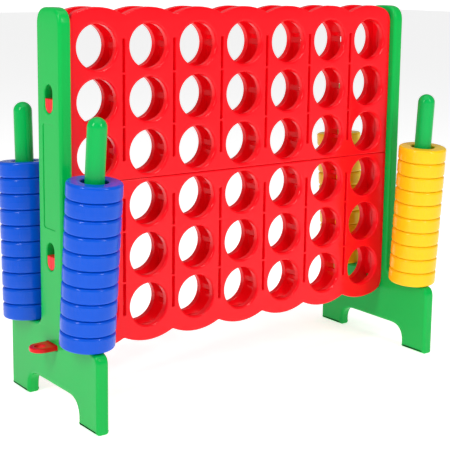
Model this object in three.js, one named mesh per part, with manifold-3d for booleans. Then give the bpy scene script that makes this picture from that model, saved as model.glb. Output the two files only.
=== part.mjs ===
// Giant four in a row, a free-standing lawn game in moulded plastic.
// Millimetres, +Z up. X runs along the board, -Y is the side that faces the players, and the
// origin is on the ground under the middle of the board.
import * as THREE from 'three';
import { mergeVertices } from 'three/addons/utils/BufferGeometryUtils.js';
import Module from 'manifold-3d';

const wasm = await Module();
wasm.setup();

// Board: seven columns of six windows, in an upper and a lower pair of panels.
const COLUMNS = 7;
const ROWS_PER_PANEL = 3;
const COLUMN_PITCH = 157;
const ROW_PITCH = 140;
const WINDOW_RADIUS = 58.5;
const WINDOW_SIDES = 16;
const BOARD_HALF_DEPTH = 43.6;
const CHANNEL_HALF_DEPTH = 22.5;
const SEAM_Z = 602;
const CREST_BEYOND_ROW = 101;
const SCALLOP_RADIUS = 172;
const SCALLOP_STEPS = 6;
const CORNER_ROUND = 34;
const RIB_WIDTH = 10;
const RIB_ABOVE_ROW = 20;
const GROOVE_WIDTH = 7;
const GROOVE_DEPTH = 8;
const GROOVE_BRIDGE = 8;
const GAP = 0.3;

// Side frames: an upright and two legs in one moulding.
const FRAME_OUTER_X = 590;
const FRAME_WIDTH = 35;
const FRAME_EDGE_ROUND = 8;
const FRAME_CURVE_STEPS = 4;
const FRAME_TOP = 1052;
const UPRIGHT_HALF_DEPTH = 62;
const UPRIGHT_TOP_ROUND = 46;
const FOOT_HALF_DEPTH = 238;
const LEG_DEPTH = 99;
const ARCH_HEIGHT = 66;
const ARCH_ROUND = 50;
const SHOULDER_ROUND = 28;
const UPRIGHT_FILLET = 24;
const SLOT_HALF_WIDTH = 20.5;
const SLOT_HALF_HEIGHT = 36.5;
const SLOT_HEIGHTS = [412, 822];
const RECESS = { halfDepth: 33, bottom: 485, top: 758, deep: 2 };

// Ring posts and the rings that they carry.
const POST_TILT = THREE.MathUtils.degToRad(4.2);
const POST_LEAN = THREE.MathUtils.degToRad(1);
const POST_SEAT_Y = 158;
const POST_SEAT_Z = 213;
const SEAT_GAP = 0.7;
const POST_RADIUS = 25;
const POST_LENGTH = 584;
const PLUG_RADIUS = 10;
const PLUG_LENGTH = 50;
const PLUG_CLEARANCE = 0.5;
const POST_SIDES = 16;
const RINGS_PER_POST = 10;
const RING_RADIUS = 71;
const RING_BORE_RADIUS = 35;
const RING_PITCH = 42.5;
const RING_SIDES = 16;

// Release slider: a ladder that closes the bottom of the columns, with a pull loop.
const SLIDER_BOTTOM = 166.5;
const SLIDER_HEIGHT = 12;
const SLIDER_HALF_DEPTH = 30;
const RAIL_WIDTH = 6.8;
const RUNG_WIDTH = 10;
const SLIDER_END_X = 575;
const LOOP_TIP_X = 652;
const FINGER_HOLE_X = 624;
const FINGER_HOLE_RADIUS = 14;
const SLIDER_CLEARANCE = 0.6;

const GREEN = new THREE.MeshStandardMaterial({ color: 0x02b860, roughness: 0.32, metalness: 0 });
const RED = new THREE.MeshStandardMaterial({ color: 0xf5141f, roughness: 0.3, metalness: 0 });
const BLUE = new THREE.MeshStandardMaterial({ color: 0x0a55e0, roughness: 0.32, metalness: 0 });
const YELLOW = new THREE.MeshStandardMaterial({ color: 0xffc61a, roughness: 0.35, metalness: 0 });

const boardEndX = FRAME_OUTER_X - FRAME_WIDTH - GAP;
const frameCentreX = FRAME_OUTER_X - FRAME_WIDTH / 2;
const columnX = (column) => (column - (COLUMNS - 1) / 2) * COLUMN_PITCH;
const sorted = (first, second) => [Math.min(first, second), Math.max(first, second)];

function toSolid(geometry) {
  const bare = geometry.clone();
  bare.deleteAttribute('normal');
  bare.deleteAttribute('uv');
  const merged = mergeVertices(bare, 1e-3);
  return new wasm.Manifold(new wasm.Mesh({
    numProp: 3,
    vertProperties: new Float32Array(merged.attributes.position.array),
    triVerts: new Uint32Array(merged.index.array),
  }));
}

function toGeometry(solid) {
  const mesh = solid.getMesh();
  const geometry = new THREE.BufferGeometry();
  geometry.setAttribute('position', new THREE.BufferAttribute(mesh.vertProperties, 3));
  geometry.setIndex(new THREE.BufferAttribute(mesh.triVerts, 1));
  geometry.computeVertexNormals();
  return geometry;
}

function box(xRange, yRange, zRange) {
  const [width, depth, height] = [xRange, yRange, zRange].map(([low, high]) => high - low);
  const geometry = new THREE.BoxGeometry(width, depth, height);
  const centre = [xRange, yRange, zRange].map(([low, high]) => (low + high) / 2);
  return toSolid(geometry.translate(...centre));
}

// An outline drawn in X and Z, made solid between two depths along Y.
function extrudeAlongY(shape, yRange, curveSegments) {
  const depth = yRange[1] - yRange[0];
  const geometry = new THREE.ExtrudeGeometry(shape, { depth, curveSegments, bevelEnabled: false });
  return toSolid(geometry.rotateX(Math.PI / 2).translate(0, yRange[1], 0));
}

// The upright slot that a panel's tab hooks into, centred on the origin.
function slotPath(path, halfWidth, halfHeight, centreZ) {
  const straight = halfHeight - halfWidth;
  path.absarc(0, centreZ + straight, halfWidth, 0, Math.PI, false);
  path.absarc(0, centreZ - straight, halfWidth, Math.PI, 2 * Math.PI, false);
  path.closePath();
  return path;
}

// The outline of a panel: straight along the seam, and a scallop over every column.
// `side` is +1 for the upper panels, whose scallops point up, and -1 for the lower ones.
function panelShape(side) {
  const rowZ = (row) => SEAM_Z + side * (row + 0.5) * ROW_PITCH;
  const crest = rowZ(ROWS_PER_PANEL - 1) + side * CREST_BEYOND_ROW;
  const halfAngle = Math.asin(COLUMN_PITCH / 2 / SCALLOP_RADIUS);
  const valley = crest - side * SCALLOP_RADIUS * (1 - Math.cos(halfAngle));
  const cornerZ = valley - side * CORNER_ROUND;
  const crestPoints = [];
  for (let column = 0; column < COLUMNS; column += 1) {
    for (let step = column > 0 ? 0 : 1; step < SCALLOP_STEPS; step += 1) {
      const angle = halfAngle * (2 * step / SCALLOP_STEPS - 1);
      crestPoints.push(new THREE.Vector2(
        columnX(column) + SCALLOP_RADIUS * Math.sin(angle),
        crest - side * SCALLOP_RADIUS * (1 - Math.cos(angle)),
      ));
    }
  }
  const first = crestPoints[0];
  const slope = side * Math.tan(halfAngle * (1 - 2 / SCALLOP_STEPS));
  const corner = new THREE.QuadraticBezierCurve(
    new THREE.Vector2(-boardEndX, cornerZ),
    new THREE.Vector2(-boardEndX, first.y - slope * (first.x + boardEndX)),
    first,
  ).getPoints(SCALLOP_STEPS).slice(0, -1);
  const mirrored = [...corner].reverse().map(({ x, y }) => new THREE.Vector2(-x, y));
  const shape = new THREE.Shape([
    new THREE.Vector2(-boardEndX, SEAM_Z + side * GAP),
    ...corner, ...crestPoints, ...mirrored,
    new THREE.Vector2(boardEndX, SEAM_Z + side * GAP),
  ]);
  for (let column = 0; column < COLUMNS; column += 1) {
    for (let row = 0; row < ROWS_PER_PANEL; row += 1) {
      const window = new THREE.Path();
      window.absarc(columnX(column), rowZ(row), WINDOW_RADIUS, 0, 2 * Math.PI, false);
      shape.holes.push(window);
    }
  }
  return { shape, rowZ, cornerZ };
}

// Ribs behind the column boundaries keep the rings of one column out of the next, and a rib
// along each end closes the board.
function addRibs(panel, side, rowZ, cornerZ) {
  const inward = [-CHANNEL_HALF_DEPTH - 1, -GAP];
  const ribZ = sorted(
    rowZ(0) - side * RIB_ABOVE_ROW,
    rowZ(ROWS_PER_PANEL - 1) + side * RIB_ABOVE_ROW,
  );
  let solid = panel;
  for (let column = 0; column < COLUMNS - 1; column += 1) {
    const x = columnX(column) + COLUMN_PITCH / 2;
    solid = solid.add(box([x - RIB_WIDTH / 2, x + RIB_WIDTH / 2], inward, ribZ));
  }
  const endZ = sorted(SEAM_Z + side * GAP, cornerZ);
  for (const end of [-1, 1]) {
    const across = sorted(end * boardEndX, end * (boardEndX - RIB_WIDTH));
    solid = solid.add(box(across, inward, endZ));
  }
  return solid;
}

// Narrow grooves in the outer face, in line with the ribs, bridged between the rows.
function cutGrooves(panel, side, rowZ) {
  const half = ROW_PITCH / 2 - GROOVE_BRIDGE / 2;
  const spans = [[-RIB_ABOVE_ROW, half], [-half, half], [-half, RIB_ABOVE_ROW]];
  let solid = panel;
  for (let column = 0; column < COLUMNS - 1; column += 1) {
    const x = columnX(column) + COLUMN_PITCH / 2;
    const across = [x - GROOVE_WIDTH / 2, x + GROOVE_WIDTH / 2];
    const deep = [-BOARD_HALF_DEPTH - 1, -BOARD_HALF_DEPTH + GROOVE_DEPTH];
    spans.forEach((span, row) => {
      const z = sorted(...span.map((along) => rowZ(row) + side * along));
      solid = solid.subtract(box(across, deep, z));
    });
  }
  return solid;
}

// A tab on each end passes through the side frame and sits in the lower half of its slot.
function addTabs(panel, slotZ) {
  const tabShape = slotPath(new THREE.Shape(), SLOT_HALF_WIDTH - 0.7, SLOT_HALF_HEIGHT - 0.7, slotZ);
  const tabGeometry = new THREE.ExtrudeGeometry(tabShape, {
    depth: 2 * (FRAME_OUTER_X - 2), curveSegments: 4, bevelEnabled: false,
  });
  const wholeTab = toSolid(tabGeometry.rotateX(Math.PI / 2).rotateZ(Math.PI / 2)
    .translate(2 - FRAME_OUTER_X, 0, 0));
  let solid = panel;
  for (const end of [-1, 1]) {
    const x = sorted(end * (boardEndX - 2), end * FRAME_OUTER_X);
    const half = box(x, [-SLOT_HALF_WIDTH, -GAP], [slotZ - SLOT_HALF_HEIGHT, slotZ]);
    solid = solid.add(wholeTab.intersect(half));
  }
  return solid;
}

// The lower panels have a groove inside their bottom edge, where the slider's rails run.
function cutRailway(panel) {
  const z = [SLIDER_BOTTOM - 0.5, SLIDER_BOTTOM + SLIDER_HEIGHT + SLIDER_CLEARANCE];
  const y = [-SLIDER_HALF_DEPTH - SLIDER_CLEARANCE, 0];
  return panel.subtract(box([-boardEndX - 1, boardEndX + 1], y, z));
}

// Every panel is made as a front one. A rear one is the same moulding turned half a turn.
function makePanel(name, side, rear) {
  const { shape, rowZ, cornerZ } = panelShape(side);
  let solid = extrudeAlongY(shape, [-BOARD_HALF_DEPTH, -CHANNEL_HALF_DEPTH], WINDOW_SIDES / 2);
  solid = addRibs(solid, side, rowZ, cornerZ);
  solid = cutGrooves(solid, side, rowZ);
  solid = addTabs(solid, SLOT_HEIGHTS[side > 0 ? 1 : 0]);
  if (side < 0) solid = cutRailway(solid);
  const panel = new THREE.Mesh(toGeometry(solid), RED);
  panel.name = name;
  panel.rotation.z = rear ? Math.PI : 0;
  return panel;
}

// The outline of a side frame, drawn with Y across and Z up: half of it, then its mirror image.
function frameShape() {
  const shoulderZ = (y) => POST_SEAT_Z - Math.tan(POST_TILT) * (y - POST_SEAT_Y);
  const legInner = FOOT_HALF_DEPTH - LEG_DEPTH;
  const filletY = UPRIGHT_HALF_DEPTH + UPRIGHT_FILLET;
  const roundY = FOOT_HALF_DEPTH - SHOULDER_ROUND;
  const half = new THREE.Path();
  half.moveTo(0, ARCH_HEIGHT);
  half.absarc(legInner - ARCH_ROUND, ARCH_HEIGHT - ARCH_ROUND, ARCH_ROUND, Math.PI / 2, 0, true);
  half.lineTo(legInner, 0);
  half.lineTo(FOOT_HALF_DEPTH, 0);
  half.lineTo(FOOT_HALF_DEPTH, shoulderZ(FOOT_HALF_DEPTH) - SHOULDER_ROUND);
  half.quadraticCurveTo(FOOT_HALF_DEPTH, shoulderZ(FOOT_HALF_DEPTH), roundY, shoulderZ(roundY));
  half.lineTo(filletY, shoulderZ(filletY));
  half.quadraticCurveTo(UPRIGHT_HALF_DEPTH, shoulderZ(filletY),
    UPRIGHT_HALF_DEPTH, shoulderZ(filletY) + UPRIGHT_FILLET);
  half.absarc(UPRIGHT_HALF_DEPTH - UPRIGHT_TOP_ROUND, FRAME_TOP - UPRIGHT_TOP_ROUND,
    UPRIGHT_TOP_ROUND, 0, Math.PI / 2, false);
  half.lineTo(0, FRAME_TOP);
  const points = half.getPoints(FRAME_CURVE_STEPS);
  const mirrored = points.slice(1, -1).reverse().map(({ x, y }) => new THREE.Vector2(-x, y));
  const shape = new THREE.Shape([...points, ...mirrored]);
  for (const slotZ of SLOT_HEIGHTS) {
    shape.holes.push(slotPath(new THREE.Path(), SLOT_HALF_WIDTH, SLOT_HALF_HEIGHT, slotZ));
  }
  return shape;
}

// The plain side frame, extruded along X with its long edges rounded.
function frameBlank() {
  const geometry = new THREE.ExtrudeGeometry(frameShape(), {
    depth: FRAME_WIDTH - 2 * FRAME_EDGE_ROUND,
    curveSegments: FRAME_CURVE_STEPS,
    bevelThickness: FRAME_EDGE_ROUND,
    bevelSize: FRAME_EDGE_ROUND,
    bevelOffset: -FRAME_EDGE_ROUND,
    bevelSegments: 2,
  });
  geometry.rotateX(Math.PI / 2).rotateZ(Math.PI / 2);
  geometry.computeBoundingBox();
  return toSolid(geometry.translate(frameCentreX - (geometry.boundingBox.min.x
    + geometry.boundingBox.max.x) / 2, 0, 0));
}

// The turn that takes +Z to a post's axis: out over its foot, and in a little over the board.
function postTurn(sideX, sideY) {
  const axis = new THREE.Vector3(-sideX * Math.tan(POST_LEAN), sideY * Math.tan(POST_TILT), 1);
  return new THREE.Quaternion().setFromUnitVectors(new THREE.Vector3(0, 0, 1), axis.normalize());
}

function postSocket(end) {
  const geometry = new THREE.CylinderGeometry(PLUG_RADIUS + PLUG_CLEARANCE,
    PLUG_RADIUS + PLUG_CLEARANCE, 2 * (PLUG_LENGTH + 2), POST_SIDES);
  geometry.rotateX(Math.PI / 2).applyQuaternion(postTurn(1, end));
  return toSolid(geometry.translate(frameCentreX, end * POST_SEAT_Y, POST_SEAT_Z));
}

// Made as the right frame: slider slot, sockets for the posts, and a shallow recess outside.
function makeSideFrame(name, left) {
  const sliderSlot = box(
    [FRAME_OUTER_X - FRAME_WIDTH - 5, FRAME_OUTER_X + 5],
    [-SLIDER_HALF_DEPTH - SLIDER_CLEARANCE, SLIDER_HALF_DEPTH + SLIDER_CLEARANCE],
    [SLIDER_BOTTOM - SLIDER_CLEARANCE, SLIDER_BOTTOM + SLIDER_HEIGHT + SLIDER_CLEARANCE],
  );
  const recess = box(
    [FRAME_OUTER_X - RECESS.deep, FRAME_OUTER_X + 5],
    [-RECESS.halfDepth, RECESS.halfDepth],
    [RECESS.bottom, RECESS.top],
  );
  let solid = frameBlank().subtract(sliderSlot).subtract(recess);
  for (const end of [-1, 1]) solid = solid.subtract(postSocket(end));
  const frame = new THREE.Mesh(toGeometry(solid), GREEN);
  frame.name = name;
  frame.rotation.z = left ? Math.PI : 0;
  return frame;
}

// A post and its rings share one tilted group, whose +Z is the axis that the rings slide on.
function makePost(name, ringName, ringMaterial, sideX, sideY) {
  const stand = new THREE.Group();
  stand.position.set(sideX * frameCentreX, sideY * POST_SEAT_Y, POST_SEAT_Z);
  stand.quaternion.copy(postTurn(sideX, sideY));
  const profile = [
    new THREE.Vector2(0, -PLUG_LENGTH),
    new THREE.Vector2(PLUG_RADIUS, -PLUG_LENGTH),
    new THREE.Vector2(PLUG_RADIUS, SEAT_GAP),
    new THREE.Vector2(POST_RADIUS, SEAT_GAP),
  ];
  for (let step = 0; step <= 3; step += 1) {
    const angle = step * Math.PI / 6;
    profile.push(new THREE.Vector2(
      step === 3 ? 0 : POST_RADIUS * Math.cos(angle),
      POST_LENGTH - POST_RADIUS * (1 - Math.sin(angle)),
    ));
  }
  const post = new THREE.Mesh(new THREE.LatheGeometry(profile, POST_SIDES).rotateX(Math.PI / 2), GREEN);
  post.name = name;
  stand.add(post);
  const height = RING_PITCH - GAP;
  const section = [
    new THREE.Vector2(RING_BORE_RADIUS, 0),
    new THREE.Vector2(RING_RADIUS, 0),
    new THREE.Vector2(RING_RADIUS, height),
    new THREE.Vector2(RING_BORE_RADIUS, height),
    new THREE.Vector2(RING_BORE_RADIUS, 0),
  ];
  for (let index = 0; index < RINGS_PER_POST; index += 1) {
    const geometry = new THREE.LatheGeometry(section, RING_SIDES).rotateX(Math.PI / 2);
    const ring = new THREE.Mesh(geometry, ringMaterial);
    ring.name = `${ringName}_${String(index + 1).padStart(2, '0')}`;
    ring.position.z = SEAT_GAP + index * RING_PITCH;
    stand.add(ring);
  }
  return stand;
}

// The slider's flat plate: its left end is round, with a finger hole in it.
function sliderPlate() {
  const shape = new THREE.Shape();
  shape.moveTo(SLIDER_END_X, -SLIDER_HALF_DEPTH);
  shape.lineTo(SLIDER_END_X, SLIDER_HALF_DEPTH);
  shape.absarc(SLIDER_HALF_DEPTH - LOOP_TIP_X, 0, SLIDER_HALF_DEPTH, Math.PI / 2, 1.5 * Math.PI, false);
  const hole = new THREE.Path();
  hole.absarc(-FINGER_HOLE_X, 0, FINGER_HOLE_RADIUS, 0, 2 * Math.PI, false);
  shape.holes.push(hole);
  return toSolid(new THREE.ExtrudeGeometry(shape, {
    depth: SLIDER_HEIGHT, curveSegments: 8, bevelEnabled: false,
  }));
}

// Two rails, a rung under every column that holds its rings up, and a pull loop on the left.
function makeSlider() {
  const insideDepth = SLIDER_HALF_DEPTH - RAIL_WIDTH;
  let solid = sliderPlate();
  const rungX = [-SLIDER_END_X + RUNG_WIDTH / 2];
  for (let column = 0; column < COLUMNS; column += 1) rungX.push(columnX(column));
  rungX.push(SLIDER_END_X - RUNG_WIDTH / 2);
  for (let index = 0; index < rungX.length - 1; index += 1) {
    const between = [rungX[index] + RUNG_WIDTH / 2, rungX[index + 1] - RUNG_WIDTH / 2];
    solid = solid.subtract(box(between, [-insideDepth, insideDepth], [-1, SLIDER_HEIGHT + 1]));
  }
  const slider = new THREE.Mesh(toGeometry(solid), RED);
  slider.name = 'release_slider';
  slider.position.z = SLIDER_BOTTOM;
  return slider;
}

const game = new THREE.Group();
game.add(makeSideFrame('side_frame_left', true));
game.add(makeSideFrame('side_frame_right', false));
game.add(makePanel('upper_panel_front', 1, false));
game.add(makePanel('upper_panel_rear', 1, true));
game.add(makePanel('lower_panel_front', -1, false));
game.add(makePanel('lower_panel_rear', -1, true));
game.add(makeSlider());
game.add(makePost('ring_post_front_left', 'blue_ring_front', BLUE, -1, -1));
game.add(makePost('ring_post_rear_left', 'blue_ring_rear', BLUE, -1, 1));
game.add(makePost('ring_post_front_right', 'yellow_ring_front', YELLOW, 1, -1));
game.add(makePost('ring_post_rear_right', 'yellow_ring_rear', YELLOW, 1, 1));

export default game;
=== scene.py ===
"""Looks of the giant four in a row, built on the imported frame. Metres, +Z up."""

import math

import bmesh
import bpy
from mathutils import Matrix, Vector
from mathutils.geometry import tessellate_polygon


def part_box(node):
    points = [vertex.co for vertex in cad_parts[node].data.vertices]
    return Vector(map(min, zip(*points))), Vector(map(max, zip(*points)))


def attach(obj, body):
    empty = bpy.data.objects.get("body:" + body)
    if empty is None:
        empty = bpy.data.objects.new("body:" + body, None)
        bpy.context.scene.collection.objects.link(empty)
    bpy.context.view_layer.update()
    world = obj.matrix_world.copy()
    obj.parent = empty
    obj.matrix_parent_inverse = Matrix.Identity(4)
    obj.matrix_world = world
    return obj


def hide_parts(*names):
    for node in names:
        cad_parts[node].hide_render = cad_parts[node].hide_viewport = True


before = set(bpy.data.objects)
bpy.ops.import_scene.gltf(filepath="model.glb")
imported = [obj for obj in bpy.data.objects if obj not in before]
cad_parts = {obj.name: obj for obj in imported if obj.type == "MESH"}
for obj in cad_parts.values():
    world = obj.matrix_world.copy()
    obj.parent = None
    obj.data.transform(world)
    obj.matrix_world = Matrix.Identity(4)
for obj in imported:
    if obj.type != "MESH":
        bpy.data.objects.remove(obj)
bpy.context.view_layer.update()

# Sizes shared with the CAD model.
COLUMNS = 7
ROWS_PER_PANEL = 3
COLUMN_PITCH = 0.157
ROW_PITCH = 0.140
WINDOW_RADIUS = 0.0588
SCALLOP_RADIUS = 0.172
CORNER_ROUND = 0.034
CHANNEL_HALF_DEPTH = 0.0225
RIB_WIDTH = 0.010
RIB_ABOVE_ROW = 0.020
RIB_NOTCH = 0.016
GAP = 0.0003
UPRIGHT_HALF_DEPTH = 0.062
UPRIGHT_TOP_ROUND = 0.046
LEG_INNER_Y = 0.139
ARCH_HEIGHT = 0.066
ARCH_ROUND = 0.050
SHOULDER_ROUND = 0.028
UPRIGHT_FILLET = 0.024
SLOT_HALF_WIDTH = 0.0205
SLOT_HALF_HEIGHT = 0.0365
SLOT_HEIGHTS = (0.412, 0.822)
RECESS_LOW = (-0.033, 0.485)
RECESS_HIGH = (0.033, 0.758)
RECESS_DEEP = 0.002
POST_TILT = math.radians(4.2)
POST_LEAN = math.radians(1)
POST_SEAT = (0.158, 0.213)
SEAT_GAP = 0.0007
POST_RADIUS = 0.025
POST_LENGTH = 0.584
PLUG_RADIUS = 0.010
PLUG_LENGTH = 0.050
RING_RADIUS = 0.071
RING_BORE_RADIUS = 0.035
RING_PITCH = 0.0425
RINGS_PER_POST = 10
RAIL_WIDTH = 0.0068
RUNG_WIDTH = 0.010
FINGER_HOLE_X = -0.624
FINGER_HOLE_RADIUS = 0.014
SLIDER_CLEARANCE = 0.0006

# Moulded details that only the fine surface has.
WINDOW_FLARE = 0.0065
PANEL_EDGE_ROUND = 0.004
BACK_EDGE_ROUND = 0.002
VALLEY_ROUND = 0.010
RIB_ROOT = 0.002
RIB_EDGE_ROUND = 0.0015
END_WALL_ROUND = 0.0012
TAB_CLEARANCE = 0.0009
TAB_INSET = 0.002
TAB_EDGE_ROUND = 0.0012
GROOVE_WIDTH = 0.0088
GROOVE_DEPTH = 0.011
GROOVE_BRIDGE = 0.005
GROOVE_CORNER = 0.0018
GROOVE_LIP = 0.0012
FRAME_EDGE_ROUND = 0.009
FOOT_INNER_ROUND = 0.004
FOOT_OUTER_ROUND = 0.005
SLOT_EDGE_ROUND = 0.004
SLIDER_SLOT_GAP = 0.0009
SLIDER_SLOT_CORNER = 0.0035
RECESS_CORNER = 0.008
RECESS_LIP = 0.0009
PLUG_EDGE_ROUND = 0.002
RING_EDGE_ROUND = 0.0075
RING_BORE_ROUND = 0.004
PARTING_LINE_OUT = 0.0003
PARTING_LINE_HALF = 0.0004
PARTING_LINE_FOOT = 0.0011
SLIDER_EDGE_ROUND = 0.0028
SLIDER_GAP_CORNER = 0.004
WINDOW_POINTS = 64
RING_POINTS = 80

left_frame_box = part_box("side_frame_left")
frame_width = left_frame_box[1].x - left_frame_box[0].x
frame_outer_x = -left_frame_box[0].x
frame_centre_x = frame_outer_x - frame_width / 2
frame_top = left_frame_box[1].z
foot_half_depth = left_frame_box[1].y
board_half_depth = -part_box("upper_panel_front")[0].y
board_end_x = frame_outer_x - frame_width - GAP
seam_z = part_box("upper_panel_front")[0].z - GAP
upper_crest_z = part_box("upper_panel_front")[1].z
lower_crest_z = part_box("lower_panel_front")[0].z
slider_low, slider_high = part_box("release_slider")


def column_x(column):
    return (column - (COLUMNS - 1) / 2) * COLUMN_PITCH


# ---------------------------------------------------------------- outlines

def arc(centre, radius, start, end, steps):
    """Points on an arc about centre, from angle start to angle end, both included."""
    angles = [start + (end - start) * step / steps for step in range(steps + 1)]
    return [(centre[0] + radius * math.cos(a), centre[1] + radius * math.sin(a)) for a in angles]


def circle(centre, radius, count):
    return arc(centre, radius, 0, 2 * math.pi * (count - 1) / count, count - 1)


def stadium(centre, half_width, half_height, steps=12):
    straight = half_height - half_width
    top = arc((centre[0], centre[1] + straight), half_width, 0, math.pi, steps)
    bottom = arc((centre[0], centre[1] - straight), half_width, math.pi, 2 * math.pi, steps)
    return top + bottom


def rounded_rectangle(low, high, radius, steps=6):
    corners = [(high[0] - radius, high[1] - radius), (low[0] + radius, high[1] - radius),
               (low[0] + radius, low[1] + radius), (high[0] - radius, low[1] + radius)]
    points = []
    for index, corner in enumerate(corners):
        start = index * math.pi / 2
        points += arc(corner, radius, start, start + math.pi / 2, steps)
    return points


def bend(start, corner, end, steps):
    """A quadratic curve that leaves start towards corner and reaches end from it."""
    points = []
    for step in range(steps + 1):
        t = step / steps
        weights = ((1 - t) ** 2, 2 * t * (1 - t), t ** 2)
        points.append(tuple(sum(w * p[axis] for w, p in zip(weights, (start, corner, end)))
                            for axis in (0, 1)))
    return points


def rounded_path(corners, steps=8):
    """A closed outline from (x, y, radius) corners, each rounded with a quadratic curve."""
    points = []
    for index, (x, y, radius) in enumerate(corners):
        here = Vector((x, y))
        if radius == 0:
            points.append((x, y))
            continue
        before = Vector(corners[index - 1][:2]) - here
        after = Vector(corners[(index + 1) % len(corners)][:2]) - here
        start = here + before.normalized() * radius
        end = here + after.normalized() * radius
        points += bend(start, here, end, steps)
    return points


def scallops(crest_z, side, steps=14):
    """One scallop over each column, from left to right, with the valleys between them rounded."""
    centre_z = crest_z - side * SCALLOP_RADIUS
    half_pitch = COLUMN_PITCH / 2
    reach = SCALLOP_RADIUS + VALLEY_ROUND
    rise = math.sqrt(reach ** 2 - half_pitch ** 2)
    lean = math.asin(half_pitch / reach)
    end_lean = math.asin(half_pitch / SCALLOP_RADIUS) * 2 / 3
    points = []
    for column in range(COLUMNS):
        first = -end_lean if column == 0 else -lean
        last = end_lean if column == COLUMNS - 1 else lean
        for step in range(steps + 1):
            angle = first + (last - first) * step / steps
            points.append((column_x(column) + SCALLOP_RADIUS * math.sin(angle),
                           centre_z + side * SCALLOP_RADIUS * math.cos(angle)))
        if column < COLUMNS - 1:
            for step in range(1, 6):
                angle = lean * (1 - step / 3)
                points.append((column_x(column) + half_pitch - VALLEY_ROUND * math.sin(angle),
                               centre_z + side * (rise - VALLEY_ROUND * math.cos(angle))))
    return points


def panel_corner_z(crest_z, side):
    """The height where the rounding of a panel's outer corners starts."""
    drop = SCALLOP_RADIUS - math.sqrt(SCALLOP_RADIUS ** 2 - COLUMN_PITCH ** 2 / 4)
    return crest_z - side * (drop + CORNER_ROUND)


def panel_outline(start_z, crest_z, side):
    """Straight along the seam, rounded at the outer corners, scalloped in between."""
    crests = scallops(crest_z, side)
    first_x, first_z = crests[0]
    slope = (column_x(0) - first_x) / (crest_z - side * SCALLOP_RADIUS - first_z)
    tip = (-board_end_x, first_z + slope * (first_x + board_end_x))
    corner = bend((-board_end_x, panel_corner_z(crest_z, side)), tip, crests[0], 10)[:-1]
    mirrored = [(-x, z) for x, z in reversed(corner)]
    return [(-board_end_x, start_z)] + corner + crests + mirrored + [(board_end_x, start_z)]


# ---------------------------------------------------------------- mesh building

def signed_area(points):
    total = 0
    for (x0, y0), (x1, y1) in zip(points, points[1:] + points[:1]):
        total += x0 * y1 - x1 * y0
    return total / 2


def wound(points, anticlockwise):
    """The points without repeats, in the direction asked for."""
    clean = []
    for point in points:
        if not clean or math.dist(point, clean[-1]) > 1e-5:
            clean.append(point)
    if math.dist(clean[0], clean[-1]) < 1e-5:
        clean.pop()
    return clean if (signed_area(clean) > 0) == anticlockwise else clean[::-1]


def inward_normals(points):
    """The mitred direction into the material on the left of each point of a closed loop."""
    normals = []
    for index, point in enumerate(points):
        before = Vector(point) - Vector(points[index - 1])
        after = Vector(points[(index + 1) % len(points)]) - Vector(point)
        first = Vector((-before.y, before.x)).normalized()
        second = Vector((-after.y, after.x)).normalized()
        normals.append((first + second) / max(0.5, 1 + first.dot(second)))
    return normals


def rounding(radius, steps=5):
    """(inset, depth) pairs that turn a flat face into its side wall, from the face outwards."""
    pairs = []
    for step in range(steps + 1):
        angle = math.pi / 2 * step / steps
        pairs.append((radius * (1 - math.sin(angle)), radius * (1 - math.cos(angle))))
    return pairs


def add_rings(mesh, points, section):
    """Sweeps a (inset, height) section round a loop and returns its first and last rings."""
    normals = inward_normals(points)
    rings = []
    for inset, height in section:
        ring = [mesh.verts.new((x + n.x * inset, y + n.y * inset, height))
                for (x, y), n in zip(points, normals)]
        rings.append(ring)
    for lower, upper in zip(rings, rings[1:]):
        for index in range(len(points)):
            following = (index + 1) % len(points)
            mesh.faces.new((lower[index], lower[following], upper[following], upper[index]))
    return rings[0], rings[-1]


def add_cap(mesh, loops):
    """Fills an outer loop of vertices, less the loops inside it, with triangles."""
    corners = [vertex for loop in loops for vertex in loop]
    polygon = [[vertex.co for vertex in loop] for loop in loops]
    for triangle in tessellate_polygon(polygon):
        mesh.faces.new([corners[index] for index in triangle])


def plate(mesh, outline, holes, low, high, rounds, pockets=()):
    """A plate between two heights. rounds is (outline low, outline high, hole low, hole high).
    Each pocket is (loop, depth, lip radius), sunk into the low face."""
    low_caps = []
    high_caps = []
    loops = [(wound(outline, True), rounds[0], rounds[1])]
    loops += [(wound(hole, False), rounds[2], rounds[3]) for hole in holes]
    for points, low_round, high_round in loops:
        section = [(inset, low + depth) for inset, depth in rounding(low_round)]
        section += [(inset, high - depth) for inset, depth in reversed(rounding(high_round))]
        first, last = add_rings(mesh, points, section)
        low_caps.append(first)
        high_caps.append(last)
    for points, depth, lip in pockets:
        points = wound(points, False)
        section = [(inset, low + fall) for inset, fall in rounding(lip)]
        section += [(inset - lip, low + depth - fall) for inset, fall in reversed(rounding(lip))]
        first, floor = add_rings(mesh, points, section)
        low_caps.append(first)
        add_cap(mesh, [floor])
    add_cap(mesh, low_caps)
    add_cap(mesh, high_caps)


def rounded_box(mesh, low, high, radius):
    """A box with its vertical edges and its low and high faces rounded."""
    outline = rounded_rectangle(low[:2], high[:2], radius, 3)
    plate(mesh, outline, [], low[2], high[2], (radius, radius, radius, radius))


def merge_into(mesh, other):
    """Adds another bmesh to this one and frees it."""
    data = bpy.data.meshes.new("scratch")
    other.to_mesh(data)
    other.free()
    mesh.from_mesh(data)
    bpy.data.meshes.remove(data)


def scratch_object(mesh):
    data = bpy.data.meshes.new("scratch")
    mesh.to_mesh(data)
    mesh.free()
    scratch = bpy.data.objects.new("scratch", data)
    bpy.context.scene.collection.objects.link(scratch)
    return scratch


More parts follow.
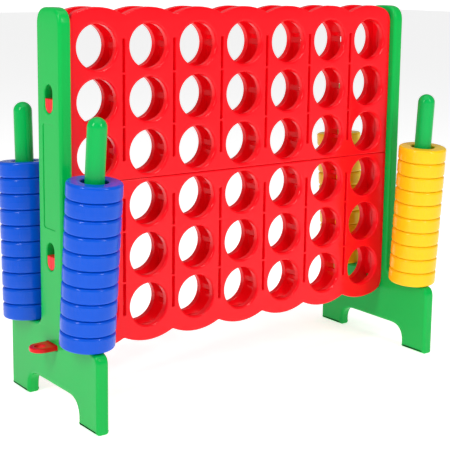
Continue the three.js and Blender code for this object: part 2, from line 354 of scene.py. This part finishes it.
def cut_box(mesh, low, high):
    """The mesh with a plain box cut out of it."""
    size = Vector(high) - Vector(low)
    middle = (Vector(high) + Vector(low)) / 2
    tool = bmesh.new()
    bmesh.ops.create_cube(tool, size=1, matrix=Matrix.Translation(middle) @ Matrix.Diagonal((*size, 1)))
    cutter = scratch_object(tool)
    blank = scratch_object(mesh)
    cut = blank.modifiers.new("cut", "BOOLEAN")
    cut.object = cutter
    cut.solver = "EXACT"
    bpy.context.view_layer.update()
    result = bmesh.new()
    result.from_object(blank, bpy.context.evaluated_depsgraph_get())
    for scratch in (blank, cutter):
        bpy.data.meshes.remove(scratch.data)
    return result


def lathe(mesh, profile, count, closed):
    """Turns (radius, height) points about the Z axis. Points on the axis become one vertex."""
    columns = []
    for radius, height in profile:
        if radius < 1e-7:
            pole = mesh.verts.new((0, 0, height))
            columns.append([pole] * count)
            continue
        angles = [2 * math.pi * index / count for index in range(count)]
        columns.append([mesh.verts.new((radius * math.cos(a), radius * math.sin(a), height))
                        for a in angles])
    pairs = list(zip(columns, columns[1:]))
    if closed:
        pairs.append((columns[-1], columns[0]))
    for lower, upper in pairs:
        for index in range(count):
            following = (index + 1) % count
            corners = []
            for vertex in (lower[index], lower[following], upper[following], upper[index]):
                if vertex not in corners:
                    corners.append(vertex)
            mesh.faces.new(corners)


def finish_piece(name, mesh, transform, material, body, node):
    """Turns a bmesh into a piece that stands for a CAD node and rides on its body."""
    bmesh.ops.transform(mesh, matrix=transform, verts=mesh.verts)
    bmesh.ops.recalc_face_normals(mesh, faces=mesh.faces)
    for face in mesh.faces:
        face.smooth = True
    data = bpy.data.meshes.new(name)
    mesh.to_mesh(data)
    mesh.free()
    data.set_sharp_from_angle(angle=math.radians(50))
    data.materials.append(material)
    piece = bpy.data.objects.new(name, data)
    bpy.context.scene.collection.objects.link(piece)
    weighted = piece.modifiers.new("even_shading", "WEIGHTED_NORMAL")
    weighted.keep_sharp = True
    weighted.weight = 80
    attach(piece, body)
    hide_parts(node)
    return piece


# ---------------------------------------------------------------- materials

def plastic(name, colour, deep_colour, roughness, grain, seed):
    """Moulded polyethylene: cloudy pigment, a soft ripple, a fine skin and faint scuffs."""
    material = bpy.data.materials.new(name)
    material.use_nodes = True
    nodes = material.node_tree.nodes
    links = material.node_tree.links
    shader = nodes["Principled BSDF"]
    shader.inputs["IOR"].default_value = 1.5
    shader.inputs["Specular IOR Level"].default_value = 0.22
    place = nodes.new("ShaderNodeTexCoord")
    shifted = nodes.new("ShaderNodeMapping")
    shifted.inputs["Location"].default_value = (seed * 1.7, seed * 0.9, seed * 2.3)
    links.new(place.outputs["Object"], shifted.inputs["Vector"])

    def noise(scale, detail, rough):
        node = nodes.new("ShaderNodeTexNoise")
        node.inputs["Scale"].default_value = scale
        node.inputs["Detail"].default_value = detail
        node.inputs["Roughness"].default_value = rough
        links.new(shifted.outputs["Vector"], node.inputs["Vector"])
        return node

    def spread(source, low, high, out_low, out_high):
        node = nodes.new("ShaderNodeMapRange")
        node.inputs["From Min"].default_value = low
        node.inputs["From Max"].default_value = high
        node.inputs["To Min"].default_value = out_low
        node.inputs["To Max"].default_value = out_high
        links.new(source, node.inputs["Value"])
        return node.outputs["Result"]

    cloud = noise(7, 4, 0.55)
    tone = nodes.new("ShaderNodeMix")
    tone.data_type = "RGBA"
    tone.inputs["A"].default_value = (*colour, 1)
    tone.inputs["B"].default_value = (*deep_colour, 1)
    links.new(spread(cloud.outputs["Fac"], 0.35, 0.75, 0.0, 0.4), tone.inputs["Factor"])
    links.new(tone.outputs["Result"], shader.inputs["Base Color"])

    scuffs = noise(95, 6, 0.7)
    skin = noise(grain, 2, 0.5)
    shine = nodes.new("ShaderNodeMath")
    shine.operation = "ADD"
    links.new(spread(scuffs.outputs["Fac"], 0.5, 0.85, roughness, roughness + 0.08), shine.inputs[0])
    links.new(spread(skin.outputs["Fac"], 0.3, 0.7, -0.02, 0.03), shine.inputs[1])
    links.new(shine.outputs["Value"], shader.inputs["Roughness"])

    ripple = noise(16, 1, 0.4)
    fine = nodes.new("ShaderNodeBump")
    fine.inputs["Strength"].default_value = 0.06
    fine.inputs["Distance"].default_value = 0.0004
    links.new(skin.outputs["Fac"], fine.inputs["Height"])
    broad = nodes.new("ShaderNodeBump")
    broad.inputs["Strength"].default_value = 0.2
    broad.inputs["Distance"].default_value = 0.002
    links.new(ripple.outputs["Fac"], broad.inputs["Height"])
    links.new(fine.outputs["Normal"], broad.inputs["Normal"])
    links.new(broad.outputs["Normal"], shader.inputs["Normal"])
    return material


green_frame = plastic("green_frame_plastic", (0.0, 0.48, 0.07), (0.0, 0.44, 0.064), 0.17, 700, 1)
green_post = plastic("green_post_plastic", (0.0, 0.47, 0.085), (0.0, 0.43, 0.078), 0.15, 620, 2)
red_board = plastic("red_board_plastic", (0.97, 0.004, 0.012), (0.90, 0.003, 0.009), 0.15, 800, 3)
red_slider = plastic("red_slider_plastic", (0.84, 0.004, 0.008), (0.74, 0.003, 0.006), 0.17, 650, 4)
blue_ring = plastic("blue_ring_plastic", (0.001, 0.092, 0.66), (0.001, 0.078, 0.60), 0.17, 900, 5)
yellow_ring = plastic("yellow_ring_plastic", (1.0, 0.62, 0.010), (0.98, 0.57, 0.007), 0.18, 850, 6)


# ---------------------------------------------------------------- the board

# A plate is drawn in X and Y with its low face down: this stands it up, low face towards -Y.
STAND_UP = Matrix(((1, 0, 0, 0), (0, 0, 1, 0), (0, 1, 0, 0), (0, 0, 0, 1)))
HALF_TURN = Matrix.Rotation(math.pi, 4, "Z")


def groove_loops(row_z, side):
    """Grooves in line with the ribs: two short ones with a long one between, on each boundary."""
    half = ROW_PITCH / 2 - GROOVE_BRIDGE / 2
    spans = ((-RIB_ABOVE_ROW, half), (-half, half), (-half, RIB_ABOVE_ROW))
    loops = []
    for column in range(COLUMNS - 1):
        x = column_x(column) + COLUMN_PITCH / 2
        for row, span in enumerate(spans):
            low, high = sorted(row_z[row] + side * along for along in span)
            loops.append(rounded_rectangle((x - GROOVE_WIDTH / 2, low),
                                           (x + GROOVE_WIDTH / 2, high), GROOVE_CORNER, 3))
    return loops


def add_ribs(mesh, row_z, side, start_z, corner_z):
    """The ribs behind the grooves, notched at every row, and the walls at the channel's ends."""
    back = -CHANNEL_HALF_DEPTH - RIB_ROOT
    breaks = [row_z[0] - side * RIB_ABOVE_ROW]
    for z in row_z:
        breaks += [z - side * RIB_NOTCH / 2, z + side * RIB_NOTCH / 2]
    breaks.append(row_z[-1] + side * RIB_ABOVE_ROW)
    for column in range(COLUMNS - 1):
        x = column_x(column) + COLUMN_PITCH / 2
        for ends in zip(breaks[::2], breaks[1::2]):
            low, high = sorted(ends)
            rounded_box(mesh, (x - RIB_WIDTH / 2, low, back), (x + RIB_WIDTH / 2, high, -GAP),
                        RIB_EDGE_ROUND)
    low, high = sorted((start_z, corner_z))
    for end in (-1, 1):
        x = sorted((end * board_end_x, end * (board_end_x - RIB_WIDTH)))
        rounded_box(mesh, (x[0], low, back), (x[1], high, -GAP), END_WALL_ROUND)


# A tab is drawn in depth and height and stretched along the board.
ALONG_BOARD = Matrix(((0, 0, 1, 0), (0, 1, 0, 0), (1, 0, 0, 0), (0, 0, 0, 1)))


def add_tabs(mesh, slot_z):
    """The end tabs that sit in the lower half of the side frames' slots."""
    half_width = SLOT_HALF_WIDTH - TAB_CLEARANCE
    base = slot_z - SLOT_HALF_HEIGHT + TAB_CLEARANCE
    outline = arc((0, base + half_width), half_width, math.pi, 1.5 * math.pi, 8)
    outline += [(-GAP, base), (-GAP, slot_z), (-half_width, slot_z)]
    for end in (-1, 1):
        x = sorted((end * (board_end_x - TAB_INSET), end * (frame_outer_x - TAB_INSET)))
        tab = bmesh.new()
        plate(tab, outline, [], x[0], x[1], (TAB_EDGE_ROUND, TAB_EDGE_ROUND, 0, 0))
        bmesh.ops.transform(tab, matrix=ALONG_BOARD, verts=tab.verts)
        merge_into(mesh, tab)


def make_panel(node, side, rear):
    """A board panel: side is +1 for the upper ones and -1 for the lower ones."""
    row_z = [seam_z + side * (row + 0.5) * ROW_PITCH for row in range(ROWS_PER_PANEL)]
    crest_z = upper_crest_z if side > 0 else lower_crest_z
    start_z = seam_z + side * GAP
    outline = panel_outline(start_z, crest_z, side)
    windows = [circle((column_x(column), z), WINDOW_RADIUS, WINDOW_POINTS)
               for column in range(COLUMNS) for z in row_z]
    pockets = [(loop, GROOVE_DEPTH, GROOVE_LIP) for loop in groove_loops(row_z, side)]
    mesh = bmesh.new()
    plate(mesh, outline, windows, -board_half_depth, -CHANNEL_HALF_DEPTH,
          (PANEL_EDGE_ROUND, BACK_EDGE_ROUND, WINDOW_FLARE, BACK_EDGE_ROUND), pockets)
    if side < 0:
        mesh = cut_box(mesh, (-board_end_x - 0.001, slider_low.z - SLIDER_CLEARANCE,
                              slider_low.y - SLIDER_CLEARANCE),
                       (board_end_x + 0.001, slider_high.z + SLIDER_CLEARANCE, 0))
    add_ribs(mesh, row_z, side, start_z, panel_corner_z(crest_z, side))
    add_tabs(mesh, SLOT_HEIGHTS[1 if side > 0 else 0])
    transform = HALF_TURN @ STAND_UP if rear else STAND_UP
    return finish_piece("fine_" + node, mesh, transform, red_board, "stand", node)


make_panel("upper_panel_front", 1, False)
make_panel("upper_panel_rear", 1, True)
make_panel("lower_panel_front", -1, False)
make_panel("lower_panel_rear", -1, True)


# ---------------------------------------------------------------- side frames

# A frame is drawn with Y across and Z up, low face outwards, for the left side.
FACE_LEFT = Matrix(((0, 0, 1, 0), (1, 0, 0, 0), (0, 1, 0, 0), (0, 0, 0, 1)))


def make_side_frame(node, right):
    """An upright and its two legs in one moulding, drawn as the left one."""
    seat_y, seat_z = POST_SEAT
    shoulder = [(y, seat_z - math.tan(POST_TILT) * (y - seat_y))
                for y in (UPRIGHT_HALF_DEPTH, foot_half_depth)]
    half = [(LEG_INNER_Y, ARCH_HEIGHT, ARCH_ROUND), (LEG_INNER_Y, 0.0, FOOT_INNER_ROUND),
            (foot_half_depth, 0.0, FOOT_OUTER_ROUND), (*shoulder[1], SHOULDER_ROUND),
            (*shoulder[0], UPRIGHT_FILLET), (UPRIGHT_HALF_DEPTH, frame_top, UPRIGHT_TOP_ROUND)]
    mirrored = [(-y, z, radius) for y, z, radius in reversed(half)]
    holes = [stadium((0, z), SLOT_HALF_WIDTH, SLOT_HALF_HEIGHT) for z in SLOT_HEIGHTS]
    holes.append(rounded_rectangle(
        (slider_low.y - SLIDER_SLOT_GAP, slider_low.z - SLIDER_SLOT_GAP),
        (slider_high.y + SLIDER_SLOT_GAP, slider_high.z + SLIDER_SLOT_GAP), SLIDER_SLOT_CORNER))
    recess = rounded_rectangle(RECESS_LOW, RECESS_HIGH, RECESS_CORNER)
    mesh = bmesh.new()
    plate(mesh, rounded_path(half + mirrored), holes, -frame_outer_x, frame_width - frame_outer_x,
          (FRAME_EDGE_ROUND, FRAME_EDGE_ROUND, SLOT_EDGE_ROUND, SLOT_EDGE_ROUND),
          [(recess, RECESS_DEEP, RECESS_LIP)])
    transform = HALF_TURN @ FACE_LEFT if right else FACE_LEFT
    return finish_piece("fine_" + node, mesh, transform, green_frame, "stand", node)


make_side_frame("side_frame_left", False)
make_side_frame("side_frame_right", True)


# ---------------------------------------------------------------- release slider

def make_slider():
    """Two rails joined by rungs, with a round pull handle on the left that has a finger hole."""
    half = slider_high.y
    end_x = slider_high.x
    inside = half - RAIL_WIDTH
    outline = [(end_x, -half), (end_x, half)]
    outline += arc((slider_low.x + half, 0), half, math.pi / 2, 1.5 * math.pi, 20)
    rungs = [-end_x + RUNG_WIDTH / 2] + [column_x(column) for column in range(COLUMNS)]
    rungs.append(end_x - RUNG_WIDTH / 2)
    holes = [circle((FINGER_HOLE_X, 0), FINGER_HOLE_RADIUS, 28)]
    for left, right in zip(rungs, rungs[1:]):
        holes.append(rounded_rectangle((left + RUNG_WIDTH / 2, -inside),
                                       (right - RUNG_WIDTH / 2, inside), SLIDER_GAP_CORNER))
    mesh = bmesh.new()
    plate(mesh, outline, holes, slider_low.z, slider_high.z, (SLIDER_EDGE_ROUND,) * 4)
    return finish_piece("fine_release_slider", mesh, Matrix.Identity(4), red_slider,
                        "release_slider", "release_slider")


make_slider()


# ---------------------------------------------------------------- posts and rings

def post_profile():
    """The plug, the flat seat and the round-topped post above it."""
    points = [(0, -PLUG_LENGTH), (PLUG_RADIUS - PLUG_EDGE_ROUND, -PLUG_LENGTH),
              (PLUG_RADIUS, PLUG_EDGE_ROUND - PLUG_LENGTH), (PLUG_RADIUS, SEAT_GAP),
              (POST_RADIUS - PLUG_EDGE_ROUND, SEAT_GAP), (POST_RADIUS, SEAT_GAP + PLUG_EDGE_ROUND)]
    dome_base = POST_LENGTH - POST_RADIUS
    for step in range(9):
        angle = math.pi / 2 * step / 8
        points.append((POST_RADIUS * math.cos(angle), dome_base + POST_RADIUS * math.sin(angle)))
    points[-1] = (0, POST_LENGTH)
    return points


def ring_profile():
    """A rounded section with a faint parting line left by the mould half way up."""
    height = RING_PITCH - GAP
    corners = ((RING_RADIUS, RING_EDGE_ROUND, 0, -1), (RING_RADIUS, RING_EDGE_ROUND, height, 1),
               (RING_BORE_RADIUS, -RING_BORE_ROUND, height, 1),
               (RING_BORE_RADIUS, -RING_BORE_ROUND, 0, -1))
    points = []
    for index, (edge, radius, level, up) in enumerate(corners):
        round_off = abs(radius)
        centre = (edge - radius, level - up * round_off)
        arcs = [(centre[0] + radius * math.cos(a), centre[1] + up * round_off * math.sin(a))
                for a in [math.pi / 2 * step / 6 for step in range(7)]]
        points += arcs[::-1] if index in (0, 2) else arcs
        if index == 0:
            middle = height / 2
            proud = edge + PARTING_LINE_OUT
            points += [(edge, middle - PARTING_LINE_FOOT), (proud, middle - PARTING_LINE_HALF),
                       (proud, middle + PARTING_LINE_HALF), (edge, middle + PARTING_LINE_FOOT)]
    return points


def make_stand(post_node, ring_prefix, side_x, side_y, ring_material):
    """One post and its rings, all on the post's tilted axis."""
    seat = Matrix.Translation((side_x * frame_centre_x, side_y * POST_SEAT[0], POST_SEAT[1]))
    along = Vector((-side_x * math.tan(POST_LEAN), side_y * math.tan(POST_TILT), 1))
    axis = seat @ Vector((0, 0, 1)).rotation_difference(along).to_matrix().to_4x4()
    mesh = bmesh.new()
    lathe(mesh, post_profile(), 48, False)
    finish_piece("fine_" + post_node, mesh, axis, green_post, "stand", post_node)
    profile = ring_profile()
    for index in range(RINGS_PER_POST):
        node = f"{ring_prefix}_{index + 1:02d}"
        spin = Matrix.Rotation(index * 2.4, 4, "Z")
        lift = Matrix.Translation((0, 0, SEAT_GAP + index * RING_PITCH))
        mesh = bmesh.new()
        lathe(mesh, profile, RING_POINTS, True)
        finish_piece("fine_" + node, mesh, axis @ lift @ spin, ring_material, node, node)


make_stand("ring_post_front_left", "blue_ring_front", -1, -1, blue_ring)
make_stand("ring_post_rear_left", "blue_ring_rear", -1, 1, blue_ring)
make_stand("ring_post_front_right", "yellow_ring_front", 1, -1, yellow_ring)
make_stand("ring_post_rear_right", "yellow_ring_rear", 1, 1, yellow_ring)


# ---------------------------------------------------------------- floor, lights, camera

def make_floor():
    mesh = bmesh.new()
    bmesh.ops.create_grid(mesh, x_segments=1, y_segments=1, size=30)
    data = bpy.data.meshes.new("floor")
    mesh.to_mesh(data)
    mesh.free()
    floor = bpy.data.objects.new("floor", data)
    bpy.context.scene.collection.objects.link(floor)
    material = bpy.data.materials.new("pale_floor")
    material.use_nodes = True
    shader = material.node_tree.nodes["Principled BSDF"]
    shader.inputs["Base Color"].default_value = (0.96, 0.96, 0.96, 1)
    shader.inputs["Roughness"].default_value = 0.8
    shader.inputs["Emission Color"].default_value = (1, 1, 1, 1)
    shader.inputs["Emission Strength"].default_value = 0.6
    data.materials.append(material)


def softbox(name, azimuth, elevation, distance, size, power):
    """A square area light aimed at the middle of the game. Azimuth 0 is in front of it."""
    target = Vector((0, 0, 0.5))
    turn, rise = math.radians(azimuth), math.radians(elevation)
    away = Vector((math.sin(turn) * math.cos(rise), -math.cos(turn) * math.cos(rise), math.sin(rise)))
    data = bpy.data.lights.new(name, "AREA")
    data.shape = "RECTANGLE"
    data.size, data.size_y = size
    data.energy = power
    light = bpy.data.objects.new(name, data)
    light.location = target + away * distance
    light.rotation_euler = away.to_track_quat("Z", "Y").to_euler()
    bpy.context.scene.collection.objects.link(light)


def make_world():
    """Soft white light from everywhere. What is seen behind the floor stays pure white."""
    world = bpy.data.worlds.new("studio")
    world.use_nodes = True
    nodes = world.node_tree.nodes
    background = nodes["Background"]
    background.inputs["Color"].default_value = (1, 1, 1, 1)
    ray = nodes.new("ShaderNodeLightPath")
    strength = nodes.new("ShaderNodeMath")
    strength.operation = "MULTIPLY_ADD"
    strength.inputs[1].default_value = 0.9
    strength.inputs[2].default_value = 0.3
    world.node_tree.links.new(ray.outputs["Is Camera Ray"], strength.inputs[0])
    world.node_tree.links.new(strength.outputs["Value"], background.inputs["Strength"])
    bpy.context.scene.world = world


def make_camera():
    data = bpy.data.cameras.new("camera")
    data.sensor_width = 36
    data.lens = 92.8
    data.shift_y = -0.1
    camera = bpy.data.objects.new("camera", data)
    camera.location = (-1.958, -2.621, 1.131)
    azimuth, elevation, roll = math.radians(-36.31), math.radians(9.92), math.radians(0.71)
    aim = Matrix.Rotation(azimuth, 4, "Z") @ Matrix.Rotation(math.pi / 2 - elevation, 4, "X")
    camera.rotation_euler = (aim @ Matrix.Rotation(roll, 4, "Z")).to_euler()
    bpy.context.scene.collection.objects.link(camera)
    bpy.context.scene.camera = camera


make_floor()
softbox("key", -78, 32, 3.6, (0.5, 1.5), 44)
softbox("fill", 12, 32, 3.6, (0.5, 1.5), 36)
softbox("top", -20, 80, 5.0, (5.0, 5.0), 90)
make_world()
make_camera()
bpy.context.scene.view_settings.view_transform = "Standard"
